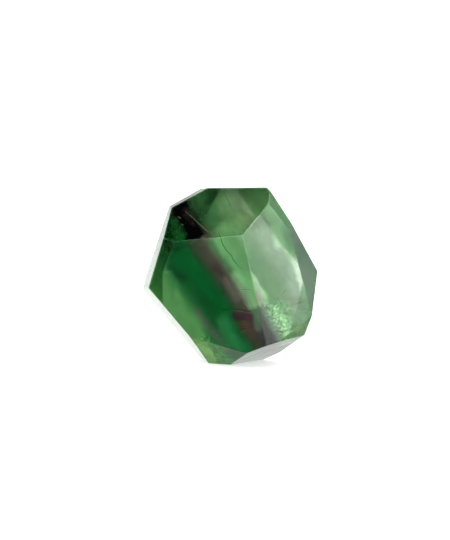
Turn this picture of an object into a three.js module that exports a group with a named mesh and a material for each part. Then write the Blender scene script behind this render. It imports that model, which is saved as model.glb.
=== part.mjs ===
// Rainbow fluorite freeform: one clear crystal, ground into a many-sided block and
// polished flat by flat, standing on the small flat at its foot.
// Millimetres, +Z up, front looks along -Y, origin on the table under the middle.

import * as THREE from 'three'
import { ConvexGeometry } from 'three/addons/geometries/ConvexGeometry.js'

const FOOT_TO_MIDDLE = 14 // all flats are measured from one point inside the stone
const EDGE_RADIUS = 0.2 // polishing has only just broken the edges
const SAME_POINT = 1e-6

const STONE_GREEN = 0x4f9a5c
const POLISH_ROUGHNESS = 0.05

// The flats, as a stone cutter would list them.
// turn: degrees round the upright axis, 0 faces the front, 90 the right, -90 the left
// rise: degrees the flat looks up, or down when negative
// out:  how far the flat lies from the middle
const FLATS = [
  // front: three large flats round a blunt peak
  { at: 'wide front', turn: -9.5, rise: -1.5, out: 9.7 },
  { at: 'upper front', turn: -12, rise: 23.5, out: 11.95 },
  { at: 'right front', turn: 14, rise: 3.5, out: 11.1 },

  // front: narrow flats stepping back to the rim
  { at: 'left front, upper half', turn: -17.5, rise: 1.5, out: 10.95 },
  { at: 'left front, lower half', turn: -18, rise: -1.5, out: 10.95 },
  { at: 'upper right front', turn: 31, rise: 16, out: 14.15 },
  { at: 'far right front', turn: 48.5, rise: 11, out: 14.35 },
  { at: 'lower right front', turn: 32.5, rise: -21.5, out: 15.4 },
  { at: 'toe', turn: -29.5, rise: -52.5, out: 13.45 },

  // sides: long walls running front to back
  { at: 'left wall', turn: -84.5, rise: 16.5, out: 12.8 },
  { at: 'lower left wall', turn: -78, rise: -39, out: 11.75 },
  { at: 'upper left wall', turn: -84, rise: 61.5, out: 15.2 },
  { at: 'top', turn: -166, rise: 88, out: 14.95 },
  { at: 'upper right wall', turn: 110.5, rise: 32.5, out: 10.85 },
  { at: 'right wall', turn: 107, rise: -15.5, out: 11.6 },
  { at: 'lower right wall', turn: 50, rise: -65, out: 14 },
  { at: 'foot', turn: 0, rise: -90, out: FOOT_TO_MIDDLE },

  // back: a small middle flat ringed by larger ones
  { at: 'middle back', turn: 177.5, rise: -1, out: 10.3 },
  { at: 'upper left back', turn: -140, rise: 35.5, out: 12.2 },
  { at: 'left back', turn: -157.5, rise: 3, out: 11.6 },
  { at: 'lower left back', turn: -157.5, rise: -24, out: 10.6 },
  { at: 'upper back', turn: 176.5, rise: 29.5, out: 12.4 },
  { at: 'upper right back', turn: 149, rise: 16, out: 10.7 },
  { at: 'lower back', turn: 174, rise: -31.5, out: 11.6 },
  { at: 'right back', turn: 144.5, rise: -13.5, out: 8.55 },
]

// The direction a flat looks in.
function facing({ turn, rise }) {
  const round = THREE.MathUtils.degToRad(turn)
  const up = THREE.MathUtils.degToRad(rise)
  return new THREE.Vector3(
    Math.sin(round) * Math.cos(up),
    -Math.cos(round) * Math.cos(up),
    Math.sin(up),
  )
}

// The point where three flats cross, or null when they never do.
function crossing(a, b, c) {
  const along = new THREE.Vector3().crossVectors(b.normal, c.normal)
  const volume = a.normal.dot(along)
  if (Math.abs(volume) < SAME_POINT) return null
  const second = new THREE.Vector3().crossVectors(c.normal, a.normal)
  const third = new THREE.Vector3().crossVectors(a.normal, b.normal)
  return along
    .multiplyScalar(a.out)
    .addScaledVector(second, b.out)
    .addScaledVector(third, c.out)
    .divideScalar(volume)
}

// Every corner of the block bounded by the flats, with the flats that meet there.
function cornersOf(flats) {
  const corners = []
  for (let i = 0; i < flats.length; i++) {
    for (let j = i + 1; j < flats.length; j++) {
      for (let k = j + 1; k < flats.length; k++) {
        const meeting = [flats[i], flats[j], flats[k]]
        const point = crossing(...meeting)
        if (!point) continue
        const outside = flats.some((f) => f.normal.dot(point) > f.out + SAME_POINT)
        if (!outside) corners.push({ point, meeting })
      }
    }
  }
  return corners
}

// Points on the small ball that rounds one corner: one under each flat, one along
// each edge, and one at the tip.
function roundedCorner({ point, meeting }) {
  const [a, b, c] = meeting.map((flat) => flat.normal)
  const directions = [
    a,
    b,
    c,
    new THREE.Vector3().addVectors(a, b),
    new THREE.Vector3().addVectors(b, c),
    new THREE.Vector3().addVectors(c, a),
    new THREE.Vector3().addVectors(a, b).add(c),
  ]
  return directions.map((direction) =>
    direction.clone().setLength(EDGE_RADIUS).add(point),
  )
}

const innerFlats = FLATS.map((flat) => ({
  normal: facing(flat),
  out: flat.out - EDGE_RADIUS,
}))
const surfacePoints = cornersOf(innerFlats).flatMap(roundedCorner)
const block = new ConvexGeometry(surfacePoints)

// Stand it on the table, centred over the origin.
block.computeBoundingBox()
const { min, max } = block.boundingBox
block.translate(-(min.x + max.x) / 2, -(min.y + max.y) / 2, -min.z)

const polishedFluorite = new THREE.MeshStandardMaterial({
  color: STONE_GREEN,
  roughness: POLISH_ROUGHNESS,
  metalness: 0,
})

const crystal = new THREE.Mesh(block, polishedFluorite)
crystal.name = 'fluorite_crystal'

const group = new THREE.Group()
group.name = 'rainbow_fluorite_freeform'
group.add(crystal)

export default group
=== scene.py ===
"""Rainbow fluorite freeform: a clear green and purple banded crystal, ground flat by flat and polished.

Places on the stone are in millimetres, read from the front and a little from above: to the right,
up, and out towards the viewer. Sizes of the stage, and settings with a unit of length, are in metres.
"""

import math

import bmesh
import bpy
from bpy.props import FloatProperty, FloatVectorProperty, PointerProperty
from mathutils import Matrix, Vector
from mathutils import noise as perlin
from mathutils.bvhtree import BVHTree


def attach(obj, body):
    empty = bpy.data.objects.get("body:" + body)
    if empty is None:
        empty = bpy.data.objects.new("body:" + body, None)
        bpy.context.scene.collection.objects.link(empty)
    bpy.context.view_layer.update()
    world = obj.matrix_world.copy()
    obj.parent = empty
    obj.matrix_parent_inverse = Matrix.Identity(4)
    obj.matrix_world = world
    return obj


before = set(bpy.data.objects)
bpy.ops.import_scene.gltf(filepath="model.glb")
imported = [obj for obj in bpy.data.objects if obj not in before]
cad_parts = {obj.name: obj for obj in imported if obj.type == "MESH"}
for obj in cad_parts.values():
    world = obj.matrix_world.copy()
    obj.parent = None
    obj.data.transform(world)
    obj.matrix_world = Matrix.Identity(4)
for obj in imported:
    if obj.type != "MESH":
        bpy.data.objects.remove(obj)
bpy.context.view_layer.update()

bl_info = {
    "name": "Rainbow Fluorite Freeform",
    "version": (1, 0, 0),
    "blender": (4, 5, 0),
    "location": "3D View > Sidebar > Fluorite",
    "description": "Finishes a polished rainbow fluorite and sets its stage",
    "category": "Object",
}

MM = 0.001
LOOKED_DOWN = math.radians(4)  # how far down the stone is looked at
RIGHT = Vector((1, 0, 0))
UP = Vector((0, math.sin(LOOKED_DOWN), math.cos(LOOKED_DOWN)))
OUT = Vector((0, -math.cos(LOOKED_DOWN), math.sin(LOOKED_DOWN)))
FAR_OUT = 40  # well clear of the stone
FACE = Vector((-0.573, -10.813, 16.102))  # 1 mm in front of the wide front flat: places are read from it

FLUORITE_IOR = 1.434

# Growth zones run down to the right. They go into the stone along the way that the wide front flat
# bends a view.
ACROSS = 0.87 * RIGHT + 0.49 * UP + 0.059 * OUT
ALONG = 0.49 * RIGHT - 0.87 * UP

# Where each growth zone's colour is at its fullest, across the zones.
ZONES = (
    (-12.0, "#4A7146"),
    (-8.8, "#456E40"),
    (-7.9, "#21532E"),
    (-6.6, "#083C1B"),
    (-4.6, "#01421A"),
    (-3.4, "#02441E"),
    (-2.6, "#1D3120"),
    (-1.8, "#34362C"),
    (-0.4, "#423333"),
    (0.6, "#4B6348"),
    (1.6, "#628E61"),
    (4.5, "#5F835B"),
    (7.0, "#8DA18D"),
    (15.0, "#98AA98"),
)
ZONE_FIRST, ZONE_LAST = -14.0, 16.0

# How far the zones step sideways on their way down, as pairs of how far down and how far across.
STEPS = (
    (-15.0, -1.1),
    (-12.5, -1.0),
    (-9.0, 0.3),
    (-4.0, 0.4),
    (0.0, 0.1),
    (3.0, -0.2),
    (5.8, -0.5),
    (8.0, -0.1),
    (13.0, -0.8),
    (17.0, -1.0),
)
STEPS_FIRST, STEPS_LAST, STEPS_REACH = -15.0, 17.0, 1.5

# Patterns are this many times as dense along the zones, and into the stone, as across them.
LENGTHWISE, INWARDS = 0.4, 0.5
FEATHERS = 0.9  # feathers of the zones' edges, per millimetre
FRAYS = 1.1  # frays of the clouds' edges, per millimetre
FRAY_REACH = 1.3  # how far a fray reaches at most, as a share of the cloud's softness

# Clouds of other colour near the front, some of them painted shade and light: name, start right and up,
# end right and up, half width at each, softness, how strong, colour, and the flat that they show on if they
# show on one alone.
CLOUDS = (
    ("black plume", -6.8, 10.4, -4.7, 5.1, 1.95, 2.1, 0.15, 1.0, "#000000", "upper front"),
    ("maroon heart", -6.3, 9.6, -5.3, 8.1, 0.5, 0.6, 0.7, 0.7, "#0C0307", "upper front"),
    ("green rim of the plume", -4.5, 11.5, -3.1, 7.7, 0.9, 0.5, 0.5, 0.9, "#020A03", "upper front"),
    ("smoky shoulder", -3.4, 11.7, -1.8, 7.2, 1.9, 1.4, 0.7, 0.92, "#15361A", "upper front"),
    ("brown seam", -3.5, 5.1, -1.9, 5.6, 0.35, 0.3, 0.7, 0.6, "#544E3C", "upper front"),
    # Painted shade: the top edge and its right corner are painted darker, as in the shade of something
    # above.
    ("dim top", -4.4, 12.8, 6.0, 13.2, 0.8, 0.7, 0.9, 0.8, "#123018", "upper front"),
    ("dim corner", 5.3, 12.7, 6.4, 11.4, 0.7, 0.6, 0.8, 0.55, "#1A421F", "upper front"),
    ("clear window", 3.5, 10.5, 5.1, 9.0, 0.8, 0.8, 0.9, 0.45, "#5C7F52", "upper front"),
    ("clear window", 0.3, 10.7, 1.3, 7.9, 1.4, 1.4, 0.9, 0.85, "#41643A", "upper front"),
    ("clear window", -0.2, 6.6, 1.8, 6.3, 0.9, 1.1, 0.9, 0.85, "#547A4C", "upper front"),
    ("clear window", -1.9, 5.8, -0.2, 5.5, 0.6, 0.6, 0.7, 0.7, "#43653A", "upper front"),
    ("yellow patch", 1.6, 7.1, 3.1, 8.2, 0.9, 0.9, 0.9, 0.3, "#547133", "upper front"),
    ("green glint", -8.1, 7.8, -7.4, 5.6, 0.5, 0.7, 0.8, 0.6, "#0C5A1C", "upper front"),
    # Painted highlights: thin light lines and ticks on the upper front flat stand in for glints.
    ("bright seam", -6.4, 9.5, -4.7, 8.0, 0.07, 0.07, 0.3, 0.9, "#6E6258", "upper front"),
    ("bright seam", -4.7, 8.0, -2.8, 6.2, 0.07, 0.07, 0.3, 0.9, "#78705E", "upper front"),
    ("bright crescent", -7.5, 8.6, -7.2, 8.4, 0.07, 0.07, 0.3, 0.9, "#8A8A84", "upper front"),
    ("bright crescent", -7.0, 7.4, -6.7, 7.3, 0.07, 0.07, 0.3, 0.8, "#6A6E66", "upper front"),
    ("left gloom", -8.9, 4.2, -10.5, -0.8, 1.7, 1.8, 0.8, 0.95, "#04260A", "left front"),
    ("pale seam", -9.7, -0.4, -7.9, -0.1, 0.07, 0.07, 0.5, 0.5, "#6C9A70", None),
    ("pale seam", -7.9, -0.1, -6.3, 0.0, 0.07, 0.07, 0.5, 0.6, "#6C9A70", None),
    ("emerald shoulder", -8.6, 3.7, -6.9, 0.6, 1.5, 1.6, 0.35, 0.95, "#013F1A", "wide front"),
    ("deep smudge", -8.9, 0.5, -7.1, -1.1, 0.45, 0.8, 0.8, 0.9, "#011A0B", "wide front"),
    ("deep smudge", -3.9, -3.9, -2.9, -5.6, 0.6, 0.7, 0.9, 0.6, "#012B11", "wide front"),
    ("emerald arm", -3.1, -1.6, -0.5, -5.5, 1.3, 0.9, 0.6, 0.9, "#013F18", "wide front"),
    ("clear gap", 1.8, -1.1, 4.3, -5.5, 0.8, 0.7, 0.7, 0.9, "#86B082", "wide front"),
    ("maroon spots", -1.6, 0.6, -0.6, -0.8, 0.5, 0.4, 0.8, 0.6, "#240F19", "wide front"),
    ("thin spot", 0.2, -1.6, 1.8, -4.5, 0.5, 0.5, 0.9, 0.7, "#6C6662", "wide front"),
    ("maroon knot", 1.9, -7.4, 4.2, -7.7, 0.8, 0.7, 0.5, 0.95, "#2A081C", "wide front"),
    ("mauve foot", 4.0, -8.7, 5.9, -11.2, 1.0, 1.2, 0.6, 0.8, "#2B1C24", "wide front"),
    ("brown foot", 2.9, -9.0, 4.5, -12.1, 0.8, 1.0, 0.5, 0.95, "#4A2A22", "wide front"),
    ("black foot", 6.9, -11.4, 8.0, -11.4, 0.4, 0.5, 0.7, 0.9, "#060506", None),
    ("purple thread", -4.7, -6.5, -1.8, -10.2, 0.4, 0.6, 0.9, 0.75, "#503A42", "wide front"),
    ("purple thread", -1.8, -10.2, 0.2, -12.3, 0.5, 0.6, 0.9, 0.7, "#6C505C", "wide front"),
    ("blue sliver", 5.6, -6.4, 7.6, -11.3, 0.5, 0.8, 0.6, 0.8, "#33393E", None),
    ("pale thread", 4.8, -6.1, 5.3, -9.3, 0.4, 0.5, 0.7, 0.5, "#598254", "wide front"),
    ("light emerald", -0.2, -8.4, 2.1, -13.1, 0.9, 1.2, 0.9, 0.8, "#5E8058", "wide front"),
    ("dusk", 1.3, 4.3, 3.4, 0.0, 1.5, 1.3, 0.9, 0.45, "#496C44", "wide front"),
    ("gold toe", -2.3, -13.0, 0.3, -14.6, 2.2, 1.7, 0.8, 0.8, "#528A26", "toe"),
    ("emerald toe", 1.6, -13.6, 3.4, -13.0, 1.2, 1.0, 0.5, 1.0, "#0A5020", "toe"),
    # Painted light: the mint glows stand in for light shining through and a pale reflection on the right
    # front flat.
    ("mint glow", 4.0, -0.8, 5.8, -4.7, 0.5, 1.1, 0.5, 1.0, "#EAFFE2", "right front"),
    ("mint glow", 9.7, 4.3, 12.4, -1.1, 0.7, 0.8, 0.6, 0.85, "#B4DCAC", "right front"),
    ("mint glow", 11.5, 1.6, 13.4, -4.4, 0.7, 0.8, 0.5, 1.0, "#FAFFF6", "right front"),
    ("mint glow", 8.4, 6.9, 8.9, 4.3, 0.9, 0.9, 0.6, 0.9, "#BEE0B8", "right front"),
    ("pale shoulder", 5.0, 7.4, 6.6, 8.4, 1.0, 1.2, 0.8, 0.85, "#53684F", "right front"),
    ("teal shade", 9.7, 6.9, 10.8, 3.9, 0.8, 0.6, 0.7, 0.7, "#649176", "right front"),
    ("teal shade", 4.0, 2.7, 5.3, 0.6, 0.9, 0.8, 0.7, 0.6, "#527F63", "right front"),
    ("teal shade", 6.6, -5.0, 9.3, -5.6, 0.6, 0.7, 0.8, 0.5, "#5E9068", "right front"),
    ("crackled glow", 7.4, -6.6, 9.7, -10.0, 1.1, 1.4, 0.7, 0.9, "#A8D0A0", "right front"),
    ("mauve foot", 6.1, -8.4, 7.1, -10.8, 0.4, 0.6, 0.8, 0.7, "#3A2830", "right front"),
    ("mauve low", 10.0, -4.8, 12.6, -5.3, 0.8, 0.8, 0.8, 0.7, "#74776A", "right front"),
    ("pale edge", 12.6, -2.6, 13.1, -5.5, 0.5, 0.6, 0.6, 0.8, "#D0C8CC", "right front"),
    ("pale top", 6.6, 10.3, 7.9, 8.7, 0.8, 0.9, 0.8, 0.85, "#C0D8B8", "right front"),
    ("pale corner", 12.1, -6.8, 12.6, -7.8, 0.9, 1.0, 0.7, 0.7, "#C0B4BC", "right front"),
    ("warm corner", 11.8, -9.4, 13.1, -9.7, 0.9, 0.9, 0.7, 0.8, "#B0A090", "lower right front"),
)

# Crackled places: start right and up, end right and up, half width at each, and how strong.
CRACKLES = {
    "crackled patch": (8.0, -7.1, 9.8, -9.6, 1.3, 1.6, 0.8),
    "crackled patch top": (5.9, -5.8, 9.8, -6.0, 0.5, 0.8, 0.6),
    "crackled toe": (-3.1, -11.3, -0.8, -14.4, 1.2, 1.5, 0.75),
    "crackled brown seam": (-3.5, 5.1, -1.8, 5.6, 0.4, 0.4, 0.75),
}
CRACKLE_SOFTNESS = 0.7
CHIP = 0.32  # chips of 0.2 mm, drawn coarser so that they show
CHIP_SHADES = (-1.0, 1.4)  # how much the darkest and the lightest chip add to the colour, as shares of it; the lightest are painted glints

# How the front flats face, turned right and tipped up in degrees, and the tint painted on each: painted
# shade, standing in for how the depth behind each flat passes and bends the light.
FLATS = {
    "wide front": (((-9.5, -1.5),), "#DDFDE4"),
    "upper front": (((-12, 23.5),), "#5E6E49"),
    "left front": (((-17.5, 1.5), (-18, -1.5)), "#4F8D4E"),
    "right front": (((14, 3.5),), "#DFDFDC"),
    "upper right front": (((31, 16),), "#FFF3FF"),
    "far right front": (((48.5, 11),), "#F4BBFF"),
    "lower right front": (((32.5, -21.5),), "#FFCBEF"),
    "toe": (((-29.5, -52.5),), "#81EC23"),
}
CAST_FULL, CAST_GONE = 2, 5  # degrees off a flat at which its painted shade is full, and gone
FACING_FRONT = 0.2  # how squarely a surface faces the front to show what lies there in full, as a cosine

# The painted highlight on the edges grows from none to full between these places, upwards and to the right.
HIGHLIT_ABOVE, HIGHLIT_FAR_RIGHT = (-6.0, -4.0), (8.5, 9.5)
HIGHLIT_MORE_RIGHTWARD = (-2.0, 6.0)
LEAST_EDGE_HIGHLIGHT = 0.35  # how strong the painted edge highlight is left of where it grows
EDGE_ROUNDS = (0.9995, 0.994)  # cosines off a flat at which an edge begins, and is full
EDGE_SAMPLES = 4
# The colour of the painted highlight on the rounded edges.
EDGE_HIGHLIGHT_COLOUR = "#CDE3C6"

HAZE = 0.4  # patches of haze, per millimetre
HAZE_RANGE, HAZE_SHADES = (0.3, 0.7), (0.72, 1.18)

# Hand polishing leaves waves, so many to a millimetre, with a relief of this strength and height in metres.
WAVES, WAVE_STRENGTH, WAVE_HEIGHT = 0.25, 0.06, 0.002
RUBS, RUB_SHARES = 1.5, (0.6, 1.4)  # uneven polish, per millimetre, and as shares of the roughness

# Hairline cracks under the front flats: name, how far each leans in degrees, and the points that it
# runs through, right and up.
CRACKS = (
    (
        "wavy crack",
        7,
        ((-1.1, 6.2), (-0.6, 5.1), (-0.4, 4.3), (0.2, 3.3), (1.0, 2.4), (1.6, 1.3), (2.7, 0.1)),
    ),
    ("upper crack", 4, ((-0.1, 12.3), (0.5, 11.3), (0.7, 10.7), (1.3, 9.9))),
    ("level crack", 7, ((-1.1, -6.6), (0.5, -6.4), (2.1, -6.3), (3.7, -6.6), (5.1, -6.4))),
    ("level crack end", 5, ((5.9, -6.2), (6.6, -5.9), (7.6, -5.7))),
    ("short crack", 5, ((2.3, -3.2), (3.0, -3.1), (4.0, -3.1))),
    ("low crack", 8, ((2.3, -9.7), (3.0, -9.3), (3.8, -9.4))),
    ("faint crack", 4, ((9.7, -5.6), (10.8, -5.6), (12.3, -5.2), (13.6, -4.9))),
    ("fan crack", 4, ((8.9, -4.2), (9.4, -3.5), (10.0, -2.9))),
    ("fan crack", 6, ((8.4, -4.3), (9.0, -5.3), (9.8, -6.8))),
    ("fan crack", 4, ((7.2, -4.0), (8.1, -4.7), (8.7, -5.7))),
)
CRACK_STEPS = 6  # from one point of a crack to the next
COVER = 0.12  # how far under a flat the cracks start
CRACK_WAVER, WAVER_EVERY = 0.12, 0.6  # how far a crack wavers at most, and how often
CRACK_END = 0.25  # how deep a crack is at its ends, as a share of its depth
# The cracks are painted dark: painted shade for the light that their air gaps turn away.
CRACK_MOTTLE, CRACK_SHADE_DARK, CRACK_SHADE_LIGHT = 1.4, "#4A7850", "#88A880"  # patches of mottling in the cracks' painted shade, per millimetre
GRAIN_STRENGTH, GRAIN_HEIGHT = 0.3, 0.00005  # relief of the mottling, its height in metres
CRACK_ROUGHNESS = 0.6

# How bright the room is from straight down (-1) through level (0) to straight up (1), as shares.
ROOM = ((-1.0, 0.3), (-0.5, 0.48), (-0.2, 0.88), (0.0, 0.74), (0.05, 0.4), (0.3, 0.4), (1.0, 0.4))
ROOM_TURN, ROOM_LIGHT = (-0.4, 0.6), (0.015, 0.5)  # its light grows from the viewer's side to the back
ROOM_WHITE = 4  # how bright a full share is

# Soft lamps: where, what they point at, width, height and radiance.
SOFTBOXES = {
    "top_softbox": ((0.0, 0.15, 0.8), (0, 0, 0), 0.8, 0.8, 0.45),
    "window_softbox": ((0.36, -0.675, 0.05), (0, 0, 0.015), 0.24, 0.34, 2.6),
}

PAPER_SIDES, PAPER_CURVE = 72, 16  # steps round the paper bowl, and up its curve
PAPER_WHITE, PAPER_ROUGHNESS = 0.8, 0.9
UNDER_FOOT = 0.00005  # how far the paper lies under the stone's foot
SENSOR, NEAREST = 36, 0.01  # the camera's sensor in millimetres, and the nearest it sees in metres
BOUNCES = 32  # light passes many flats before it leaves the stone


def linear(colour):
    """Turns an sRGB hex colour to linear red, green and blue."""
    shares = (int(colour[i : i + 2], 16) / 255 for i in (1, 3, 5))
    return tuple(s / 12.92 if s <= 0.04045 else ((s + 0.055) / 1.055) ** 2.4 for s in shares)


def place(right, up, out):
    """The place that is so many millimetres right, up and out, in metres."""
    return (FACE + right * RIGHT + up * UP + out * OUT) * MM


def facing(turn, rise):
    """The outward direction of a flat that is turned to the right and tipped up, in degrees."""
    turn, rise = math.radians(turn), math.radians(rise)
    return Vector((math.sin(turn) * math.cos(rise), -math.cos(turn) * math.cos(rise), math.sin(rise)))


def new_material(name):
    """An empty node material, with its tree."""
    material = bpy.data.materials.new(name)
    material.use_nodes = True
    material.node_tree.nodes.clear()
    return material, material.node_tree


def add_node(tree, kind, **settings):
    """Adds a node. A setting names a property or an input, i2 being input 2, and an output links to it."""
    node = tree.nodes.new(kind)
    for name, value in settings.items():
        if hasattr(node, name):
            setattr(node, name, value)
            continue
        numbered = name[0] == "i" and name[1:].isdigit()
        socket = node.inputs[int(name[1:]) if numbered else name.replace("_", " ")]
        if isinstance(value, bpy.types.NodeSocket):
            tree.links.new(value, socket)
        else:
            socket.default_value = value
    return node


def maths(tree, operation, *values):
    """What a maths node makes of its values, each a number or an output."""
    inputs = {f"i{n}": value for n, value in enumerate(values)}
    return add_node(tree, "ShaderNodeMath", operation=operation, **inputs).outputs[0]


def vector_maths(tree, operation, first, second):
    """What a vector maths node makes of two values, each a number, a direction or an output."""
    inputs = {"i0": first, "Scale" if operation == "SCALE" else "i1": second}
    node = add_node(tree, "ShaderNodeVectorMath", operation=operation, **inputs)
    return node.outputs["Value" if operation in ("DOT_PRODUCT", "DISTANCE") else "Vector"]


def spread(tree, value, low, high, to_low=0.0, to_high=1.0, **settings):
    """Carries a value from one range over to another."""
    inputs = {"From_Min": low, "From_Max": high, "To_Min": to_low, "To_Max": to_high}
    return add_node(tree, "ShaderNodeMapRange", **settings, Value=value, **inputs).outputs[0]


def noise(tree, vector, scale, detail, **settings):
    """Soft random patches, so many to a unit of the vector."""
    node = add_node(tree, "ShaderNodeTexNoise", Vector=vector, Scale=scale, Detail=detail, **settings)
    return node.outputs["Fac"]


def tinted(tree, share, colour, tint, **settings):
    """Mixes a share of a tint, an sRGB hex colour, into a colour."""
    inputs = {"i0": share, "i6": colour, "i7": (*linear(tint), 1)}
    return add_node(tree, "ShaderNodeMix", data_type="RGBA", **settings, **inputs).outputs[2]


def set_ramp(node, colours):
    """Gives a colour ramp its stops, each a place from 0 to 1 and a linear colour."""
    stops = node.color_ramp.elements
    stops.remove(stops[1])
    for i, (at, colour) in enumerate(colours):
        stop = stops[0] if i == 0 else stops.new(at)
        stop.position = at
        stop.color = (*colour, 1)


def stepped_sideways(tree, along):
    """How far the zones have stepped sideways, at a place along them."""
    steps = add_node(tree, "ShaderNodeFloatCurve", Value=spread(tree, along, STEPS_FIRST, STEPS_LAST))
    points = steps.mapping.curves[0].points
    for i, (far, aside) in enumerate(STEPS):
        at = ((far - STEPS_FIRST) / (STEPS_LAST - STEPS_FIRST), 0.5 + 0.5 * aside / STEPS_REACH)
        point = points[0] if i == 0 else points[1] if i == len(STEPS) - 1 else points.new(*at)
        point.location = at
    steps.mapping.update()
    return spread(tree, steps.outputs[0], 0, 1, -STEPS_REACH, STEPS_REACH)


def growth_zones(tree, stone, stretched, across, along):
    """The zones' colours. They grew unevenly: they drift slowly, feather at their edges and step aside."""
    drift = noise(tree, stretched, stone.drift_scale, detail=1.0)
    feather = noise(tree, stretched, FEATHERS, detail=3.0, Roughness=0.6)
    drifted = spread(tree, drift, 0, 1, -stone.drift, stone.drift)
    feathered = spread(tree, feather, 0, 1, -stone.feather, stone.feather)
    stepped = stepped_sideways(tree, along)
    bent = maths(tree, "ADD", maths(tree, "ADD", drifted, feathered), stepped)
    share = spread(tree, maths(tree, "ADD", across, bent), ZONE_FIRST, ZONE_LAST)
    zones = add_node(tree, "ShaderNodeValToRGB", Fac=share)
    whole = ZONE_LAST - ZONE_FIRST
    set_ramp(zones, [((middle - ZONE_FIRST) / whole, linear(colour)) for middle, colour in ZONES])
    return zones.outputs["Color"]


def paint_flat_shades(tree, normal, colour):
    """Adds the front flats' painted shade, and gives each flat's share: 1 on it, and 0 past its rounded
    edge.
    """
    shares = {}
    rim, inner = math.cos(math.radians(CAST_GONE)), math.cos(math.radians(CAST_FULL))
    for flat, (ways, cast) in FLATS.items():
        for way in ways:
            turned = vector_maths(tree, "DOT_PRODUCT", normal, facing(*way))
            # A smooth step stays in its range without a clamp. So many clamps overfill the shader,
            # and the stone turns black.
            on_it = spread(tree, turned, rim, inner, interpolation_type="SMOOTHSTEP", clamp=False)
            if flat in shares:
                on_it = maths(tree, "MAXIMUM", on_it, shares[flat])
            shares[flat] = on_it
        # Painted shade: each flat's tint is multiplied in over that flat alone.
        colour = tinted(tree, shares[flat], colour, cast, blend_type="MULTIPLY", label=flat)
    frontward = vector_maths(tree, "DOT_PRODUCT", normal, OUT)
    shares[None] = spread(tree, frontward, 0, FACING_FRONT)
    return colour, shares


def line_finder(tree, face_on, frays):
    """Makes the function that finds how near a place is to a short line, seen from the front."""

    def near_line(right, up, to_right, to_up, wide, to_wide, soft, strength):
        """The strength near the line, falling to 0 past its half width. Clamps are left out here too."""
        start, line = Vector((right, up, 0)), Vector((to_right - right, to_up - up, 0))
        ahead = vector_maths(tree, "SUBTRACT", face_on, start)
        share = vector_maths(tree, "DOT_PRODUCT", ahead, line / line.length_squared)
        along_it = add_node(tree, "ShaderNodeClamp", Value=share).outputs[0]
        nearest = vector_maths(tree, "SCALE", line, along_it)
        off_it = vector_maths(tree, "DISTANCE", ahead, nearest)
        reach = spread(tree, along_it, 0, 1, wide, to_wide, clamp=False)
        distance = maths(tree, "DIVIDE", off_it, reach)
        uneven = maths(tree, "MULTIPLY_ADD", frays, soft, distance)
        limits = (1 + soft, 1 - soft, 0, strength)
        return spread(tree, uneven, *limits, interpolation_type="SMOOTHSTEP", clamp=False)

    return near_line


def add_clouds(tree, near_line, shares, colour):
    """Clouds lie along short lines, and their edges fray as the zones' do."""
    for name, *line, tint, flat in CLOUDS:
        shown = maths(tree, "MULTIPLY", near_line(*line), shares[flat])
        colour = tinted(tree, shown, colour, tint, label=name)
    return colour


def add_crackle(tree, near_line, shares, millimetres, colour):
    """Crackled places break the colour into light and dark chips: partly the crackle's own tone, and the
    light chips painted glints, standing in for light caught by tiny partings.
    """
    nearest = None
    for *line, strength in CRACKLES.values():
        near = near_line(*line, CRACKLE_SOFTNESS, strength)
        nearest = maths(tree, "MAXIMUM", near, nearest) if nearest else near
    shown = maths(tree, "MULTIPLY", nearest, shares[None])
    chips = add_node(tree, "ShaderNodeTexVoronoi", Vector=millimetres, Scale=1 / CHIP)
    chip = add_node(tree, "ShaderNodeSeparateColor", i0=chips.outputs["Color"])
    shade = spread(tree, chip.outputs[0], 0, 1, *CHIP_SHADES)
    return vector_maths(tree, "SCALE", colour, maths(tree, "MULTIPLY_ADD", shown, shade, 1.0))


def paint_edge_highlights(tree, stone, rightward, upward, colour):
    """The outer edges are painted a little lighter, as painted highlights that the rounded edges catch,
    most on the right, save low down towards the toe.
    """
    rounded = add_node(tree, "ShaderNodeBevel", samples=EDGE_SAMPLES, Radius=stone.edge_highlight_width)
    straight = add_node(tree, "ShaderNodeNewGeometry")
    outside = maths(tree, "SUBTRACT", 1.0, straight.outputs["Backfacing"])
    above_foot = spread(tree, upward, *HIGHLIT_ABOVE)
    far_right = spread(tree, rightward, *HIGHLIT_FAR_RIGHT)
    open_edge = maths(tree, "MAXIMUM", above_foot, far_right)
    stronger = spread(tree, rightward, *HIGHLIT_MORE_RIGHTWARD, LEAST_EDGE_HIGHLIGHT, 1.0)
    highlightable = maths(tree, "MULTIPLY", outside, maths(tree, "MULTIPLY", open_edge, stronger))
    leaning = vector_maths(tree, "DOT_PRODUCT", rounded.outputs[0], straight.outputs["Normal"])
    highlight_share = spread(tree, leaning, *EDGE_ROUNDS, 0.0, stone.edge_highlight_strength)
    return tinted(tree, maths(tree, "MULTIPLY", highlight_share, highlightable), colour, EDGE_HIGHLIGHT_COLOUR)


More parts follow.
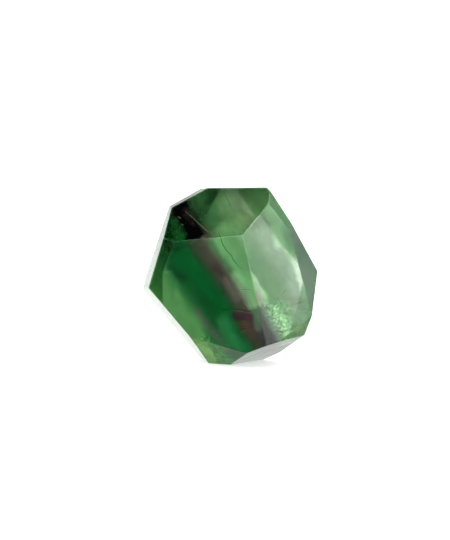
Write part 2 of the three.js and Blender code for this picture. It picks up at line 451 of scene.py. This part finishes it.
def polished_fluorite(stone):
    """Fluorite, calcium fluoride, ground flat and polished.

    It bends light little, so it looks soft and watery, not bright as quartz.
    """
    material, tree = new_material("polished_fluorite")
    coordinates = add_node(tree, "ShaderNodeTexCoord")
    millimetres = vector_maths(tree, "SCALE", coordinates.outputs["Object"], 1 / MM)
    from_face = vector_maths(tree, "SUBTRACT", millimetres, FACE)
    across = vector_maths(tree, "DOT_PRODUCT", from_face, ACROSS)
    along = vector_maths(tree, "DOT_PRODUCT", from_face, ALONG)
    # The same place, squeezed lengthwise and inwards, so that patterns draw out along the zones.
    stretched = add_node(
        tree,
        "ShaderNodeMapping",
        vector_type="TEXTURE",
        Location=FACE * MM,
        Rotation=Matrix((ALONG.cross(OUT), -ALONG, OUT)).transposed().to_euler(),
        Scale=(MM, -MM / LENGTHWISE, MM / INWARDS),
        Vector=coordinates.outputs["Object"],
    ).outputs[0]
    colour = growth_zones(tree, stone, stretched, across, along)
    colour, shares = paint_flat_shades(tree, coordinates.outputs["Normal"], colour)

    rightward = vector_maths(tree, "DOT_PRODUCT", from_face, RIGHT)
    upward = vector_maths(tree, "DOT_PRODUCT", from_face, UP)
    face_on = add_node(tree, "ShaderNodeCombineXYZ", X=rightward, Y=upward).outputs[0]
    frayed = noise(tree, stretched, FRAYS, detail=4.0, Roughness=0.65)
    near_line = line_finder(tree, face_on, spread(tree, frayed, 0, 1, -FRAY_REACH, FRAY_REACH))
    colour = add_clouds(tree, near_line, shares, colour)
    colour = add_crackle(tree, near_line, shares, millimetres, colour)
    colour = paint_edge_highlights(tree, stone, rightward, upward, colour)

    # Faint haze in patches of 2.5 mm or so.
    haze = noise(tree, stretched, HAZE, detail=6.0, Roughness=0.7)
    clouded = vector_maths(tree, "SCALE", colour, spread(tree, haze, *HAZE_RANGE, *HAZE_SHADES))

    # Hand polishing leaves each flat faintly wavy, and not quite evenly rubbed.
    waves = noise(tree, millimetres, WAVES, detail=1.0)
    wavy = add_node(
        tree, "ShaderNodeBump", Strength=WAVE_STRENGTH, Distance=WAVE_HEIGHT, Height=waves
    ).outputs[0]
    rubbed = noise(tree, millimetres, RUBS, detail=3.0)
    least, most = (stone.polish * share for share in RUB_SHARES)

    surface = add_node(
        tree,
        "ShaderNodeBsdfPrincipled",
        IOR=stone.ior,
        Transmission_Weight=1.0,
        Base_Color=clouded,
        Roughness=spread(tree, rubbed, 0, 1, least, most),
        Normal=wavy,
    )
    dye = add_node(
        tree, "ShaderNodeVolumeAbsorption", Color=(*stone.body_colour, 1), Density=stone.body_density
    )
    add_node(tree, "ShaderNodeOutputMaterial", Surface=surface.outputs[0], Volume=dye.outputs[0])
    return material


class FluoriteStone(bpy.types.PropertyGroup):
    """The crystal's own colour and polish, and the painted highlight on its edges."""

    ior: FloatProperty(
        name="Refractive index",
        description="Fluorite bends light little",
        default=FLUORITE_IOR,
        min=1.3,
        max=1.6,
    )
    polish: FloatProperty(
        name="Roughness", description="How rough the polished flats are", default=0.2, min=0, max=0.5
    )
    body_colour: FloatVectorProperty(
        name="Body colour",
        description="Colour that the clear body passes",
        default=linear("#8CDC9A"),
        size=3,
        subtype="COLOR",
        min=0,
        max=1,
    )
    body_density: FloatProperty(
        name="Body density", description="How fast the body takes light up, per metre", default=12.0, min=0
    )
    drift: FloatProperty(
        name="Drift", description="How far a growth zone wanders, in millimetres", default=0.6, min=0
    )
    drift_scale: FloatProperty(
        name="Drift scale",
        description="How often a growth zone wanders, per millimetre",
        default=0.16,
        min=0,
    )
    # Painted highlight on the rounded edges: how far it reaches, and how light it is.
    edge_highlight_width: FloatProperty(
        name="Edge highlight width",
        description="How far from an edge the highlight is painted",
        default=0.00016,
        unit="LENGTH",
        precision=5,
        min=0,
    )
    edge_highlight_strength: FloatProperty(
        name="Edge highlight strength", description="How light the painted edge highlights are", default=0.85, min=0, max=1
    )
    feather: FloatProperty(
        name="Feathering",
        description="How ragged a growth zone's edges are, in millimetres",
        default=0.9,
        min=0,
    )


class FLUORITE_OT_finish_crystal(bpy.types.Operator):
    """Gives the crystal its polished, banded fluorite"""

    bl_idname = "fluorite.finish_crystal"
    bl_label = "Finish crystal"

    def execute(self, context):
        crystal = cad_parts["fluorite_crystal"]
        crystal.data.materials.clear()
        crystal.data.materials.append(polished_fluorite(context.scene.fluorite_stone))
        return {"FINISHED"}


def under_the_flats():
    """Finds the place that is so many millimetres in under the front flats, at a place right and up."""
    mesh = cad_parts["fluorite_crystal"].data
    flats = BVHTree.FromPolygons([v.co for v in mesh.vertices], [p.vertices for p in mesh.polygons])

    def sunken(right, up, deep):
        point = flats.ray_cast(place(right, up, FAR_OUT), -OUT)[0]
        return point - OUT * deep * MM

    return sunken


def smooth_line(points, steps):
    """Points along a smooth line through the given ones."""
    points = [Vector(p) for p in points]
    ends = [2 * points[0] - points[1], *points, 2 * points[-1] - points[-2]]
    line = []
    for before, start, end, after in zip(ends, ends[1:], ends[2:], ends[3:]):
        for i in range(steps):
            t = i / steps
            line.append(
                0.5
                * (
                    2 * start
                    + t * (end - before)
                    + t * t * (2 * before - 5 * start + 4 * end - after)
                    + t * t * t * (3 * start - before - 3 * end + after)
                )
            )
    return line + [points[-1]]


def new_object(name, solid, material):
    """Turns a bmesh into an object of one material."""
    mesh = bpy.data.meshes.new(name)
    solid.to_mesh(mesh)
    solid.free()
    mesh.materials.append(material)
    holder = bpy.data.objects.new(name, mesh)
    bpy.context.scene.collection.objects.link(holder)
    return holder


def keep_piece(name, solid, material):
    """Turns a closed bmesh into a piece of the crystal."""
    bmesh.ops.recalc_face_normals(solid, faces=solid.faces)
    piece = new_object(name, solid, material)
    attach(piece, "root")


def shaded_crack():
    """Hairline cracks, opened by growth.

    They are painted dull and dark, as painted shade for the light that their thin air gaps turn away, so
    they read as thin lines.
    """
    material, tree = new_material("shaded_hairline_crack")
    metres = add_node(tree, "ShaderNodeTexCoord").outputs["Object"]
    mottle = noise(tree, metres, CRACK_MOTTLE / MM, detail=3.0)
    tint = tinted(tree, mottle, (*linear(CRACK_SHADE_DARK), 1), CRACK_SHADE_LIGHT)
    grain = add_node(tree, "ShaderNodeBump", Strength=GRAIN_STRENGTH, Distance=GRAIN_HEIGHT, Height=mottle)
    surface = add_node(
        tree,
        "ShaderNodeBsdfPrincipled",
        Roughness=CRACK_ROUGHNESS,
        IOR=FLUORITE_IOR,
        Base_Color=tint,
        Normal=grain.outputs[0],
    )
    add_node(tree, "ShaderNodeOutputMaterial", Surface=surface.outputs[0])
    return material


class FluoriteFlaws(bpy.types.PropertyGroup):
    """The cracks just under the flats, in millimetres."""

    crack_depth: FloatProperty(
        name="Crack depth", description="How far in a hairline crack goes", default=0.45, min=0.1
    )
    crack_width: FloatProperty(
        name="Crack width", description="How wide a hairline crack gapes", default=0.022, min=0.005
    )


def add_wafer(wafers, sunken, flaws, lean, points):
    """Adds one crack, a closed wafer that leans in under its flat, wavers and runs out at both ends."""
    line = smooth_line(points, CRACK_STEPS)
    lean = math.radians(lean)
    last = len(line) - 1
    rings = []
    for i, at in enumerate(line):
        ahead = line[min(i + 1, last)] - line[max(i - 1, 0)]
        along = (ahead.x * RIGHT + ahead.y * UP).normalized()
        aside = along.cross(OUT)
        inward = -math.cos(lean) * OUT + math.sin(lean) * aside
        gape = along.cross(inward) * flaws.crack_width / 2 * MM
        waver = CRACK_WAVER * perlin.noise(Vector((at.x, at.y, lean)) / WAVER_EVERY)
        runs_out = CRACK_END + (1 - CRACK_END) * math.sin(math.pi * (i + 0.5) / len(line)) ** 0.5
        top = sunken(at.x, at.y, COVER) + aside * waver * MM
        foot = top + inward * flaws.crack_depth * runs_out * MM
        rings.append([wafers.verts.new(p) for p in (top - gape, top + gape, foot + gape, foot - gape)])
    for ring, following in zip(rings, rings[1:]):
        for k in range(4):
            n = (k + 1) % 4
            wafers.faces.new((ring[k], ring[n], following[n], following[k]))
    wafers.faces.new(rings[0])
    wafers.faces.new(reversed(rings[-1]))


class FLUORITE_OT_add_cracks(bpy.types.Operator):
    """Adds the hairline cracks, each a closed wafer that leans in under its flat"""

    bl_idname = "fluorite.add_cracks"
    bl_label = "Add cracks"

    def execute(self, context):
        sunken = under_the_flats()
        wafers = bmesh.new()
        for _, lean, points in CRACKS:
            add_wafer(wafers, sunken, context.scene.fluorite_flaws, lean, points)
        keep_piece("hairline_cracks", wafers, shaded_crack())
        return {"FINISHED"}


def softbox(name, at, towards, width, height, radiance):
    """A soft rectangular lamp of an even brightness that the camera doesn't see."""
    lamp = bpy.data.lights.new(name, "AREA")
    lamp.shape = "RECTANGLE"
    lamp.size, lamp.size_y = width, height
    lamp.energy = radiance * math.pi * width * height
    holder = bpy.data.objects.new(name, lamp)
    holder.location = at
    holder.rotation_euler = (Vector(towards) - Vector(at)).to_track_quat("-Z", "Y").to_euler()
    holder.visible_camera = False
    bpy.context.scene.collection.objects.link(holder)


def white_paper(studio):
    """Matt paper, uncoated: an even white that swallows the lamps' shapes."""
    material, tree = new_material("matt_white_paper")
    surface = add_node(
        tree,
        "ShaderNodeBsdfPrincipled",
        Base_Color=(PAPER_WHITE, PAPER_WHITE, PAPER_WHITE, 1),
        Roughness=PAPER_ROUGHNESS,
        Emission_Color=(1, 1, 1, 1),
        Emission_Strength=studio.glow,
    )
    add_node(tree, "ShaderNodeOutputMaterial", Surface=surface.outputs[0])
    return material


def paper_bowl(studio):
    """Adds the paper, a flat disc that curves up all round."""
    profile = [(studio.radius, 0.0)]
    for i in range(1, PAPER_CURVE + 1):
        turn = math.pi / 2 * i / PAPER_CURVE
        profile.append((studio.radius + studio.rise * math.sin(turn), studio.rise * (1 - math.cos(turn))))
    profile.append((studio.radius + studio.rise, studio.height))
    paper = bmesh.new()
    middle = paper.verts.new((0, 0, 0))
    turns = [2 * math.pi * k / PAPER_SIDES for k in range(PAPER_SIDES)]
    rings = [[paper.verts.new((r * math.cos(a), r * math.sin(a), z)) for a in turns] for r, z in profile]
    for k in range(PAPER_SIDES):
        n = (k + 1) % PAPER_SIDES
        paper.faces.new((middle, rings[0][k], rings[0][n]))
        for low, high in zip(rings, rings[1:]):
            paper.faces.new((low[k], high[k], high[n], low[n])).smooth = True
    bowl = new_object("paper_bowl", paper, white_paper(studio))
    bowl.location.z = -UNDER_FOOT
    bowl.visible_glossy = False


def studio_room(scene):
    """A room that is dark behind the viewer and bright behind the stone."""
    world = bpy.data.worlds.new("studio_room")
    scene.world = world
    world.use_nodes = True
    tree = world.node_tree
    tree.nodes.clear()
    way = add_node(tree, "ShaderNodeTexCoord")
    parts = add_node(tree, "ShaderNodeSeparateXYZ", i0=way.outputs["Generated"])
    depth = spread(tree, parts.outputs["Y"], *ROOM_TURN, *ROOM_LIGHT, interpolation_type="SMOOTHSTEP")
    height = spread(tree, parts.outputs["Z"], -1.0, 1.0)
    walls = add_node(tree, "ShaderNodeValToRGB", Fac=height)
    set_ramp(walls, [((level + 1) / 2, (share, share, share)) for level, share in ROOM])
    light = maths(tree, "MULTIPLY", depth, walls.outputs["Color"])
    white = (ROOM_WHITE, ROOM_WHITE, ROOM_WHITE, 1)
    air = add_node(tree, "ShaderNodeBackground", Color=white, Strength=light)
    add_node(tree, "ShaderNodeOutputWorld", Surface=air.outputs[0])


def studio_camera(scene, studio):
    """Adds the camera, in front of the stone and looking a little down at it."""
    camera = bpy.data.cameras.new("camera")
    camera.sensor_width = SENSOR
    camera.lens = camera.sensor_width * studio.distance / studio.across
    camera.clip_start = NEAREST
    holder = bpy.data.objects.new("camera", camera)
    scene.collection.objects.link(holder)
    holder.location = place(0, 0, studio.distance / MM)
    holder.rotation_euler = (-OUT).to_track_quat("-Z", "Y").to_euler()
    scene.camera = holder


class FluoriteStudio(bpy.types.PropertyGroup):
    """The stage, its lights and its camera."""

    radius: FloatProperty(
        name="Floor radius", description="Where the paper starts to rise", default=0.75, unit="LENGTH"
    )
    rise: FloatProperty(name="Rise", description="Radius of the paper's curve", default=0.35, unit="LENGTH")
    height: FloatProperty(name="Height", description="Top edge of the paper", default=2.0, unit="LENGTH")
    glow: FloatProperty(
        name="Glow", description="Light that shows through the paper from behind", default=0.6, min=0
    )
    distance: FloatProperty(
        name="Camera distance",
        description="From the camera to the stone's face",
        default=0.25,
        unit="LENGTH",
    )
    across: FloatProperty(
        name="View height",
        description="What the picture's height takes in at the stone's face",
        default=0.0864,
        unit="LENGTH",
    )


class FLUORITE_OT_set_stage(bpy.types.Operator):
    """Sets a white paper bowl, soft lamps and the camera"""

    bl_idname = "fluorite.set_stage"
    bl_label = "Set stage"

    def execute(self, context):
        scene = context.scene
        paper_bowl(scene.fluorite_studio)
        studio_room(scene)
        for name, lamp in SOFTBOXES.items():
            softbox(name, *lamp)
        studio_camera(scene, scene.fluorite_studio)
        scene.view_settings.view_transform = "Standard"
        scene.cycles.max_bounces = BOUNCES
        scene.cycles.glossy_bounces = BOUNCES
        scene.cycles.transmission_bounces = BOUNCES
        return {"FINISHED"}


class FLUORITE_PT_panel(bpy.types.Panel):
    """Lists what builds the stone and its stage"""

    bl_label = "Rainbow fluorite"
    bl_space_type = "VIEW_3D"
    bl_region_type = "UI"
    bl_category = "Fluorite"

    def draw(self, context):
        scene = context.scene
        for group, operator in (
            (scene.fluorite_stone, "fluorite.finish_crystal"),
            (scene.fluorite_flaws, "fluorite.add_cracks"),
            (scene.fluorite_studio, "fluorite.set_stage"),
        ):
            box = self.layout.box()
            for name in group.__annotations__:
                box.prop(group, name)
            box.operator(operator)


CLASSES = (
    FluoriteStone,
    FluoriteFlaws,
    FluoriteStudio,
    FLUORITE_OT_finish_crystal,
    FLUORITE_OT_add_cracks,
    FLUORITE_OT_set_stage,
    FLUORITE_PT_panel,
)


def register():
    for kind in CLASSES:
        bpy.utils.register_class(kind)
    bpy.types.Scene.fluorite_stone = PointerProperty(type=FluoriteStone)
    bpy.types.Scene.fluorite_flaws = PointerProperty(type=FluoriteFlaws)
    bpy.types.Scene.fluorite_studio = PointerProperty(type=FluoriteStudio)


def unregister():
    del bpy.types.Scene.fluorite_stone, bpy.types.Scene.fluorite_flaws, bpy.types.Scene.fluorite_studio
    for kind in reversed(CLASSES):
        bpy.utils.unregister_class(kind)


def main():
    register()
    bpy.ops.fluorite.finish_crystal()
    bpy.ops.fluorite.add_cracks()
    bpy.ops.fluorite.set_stage()


if __name__ == "__main__":
    main()
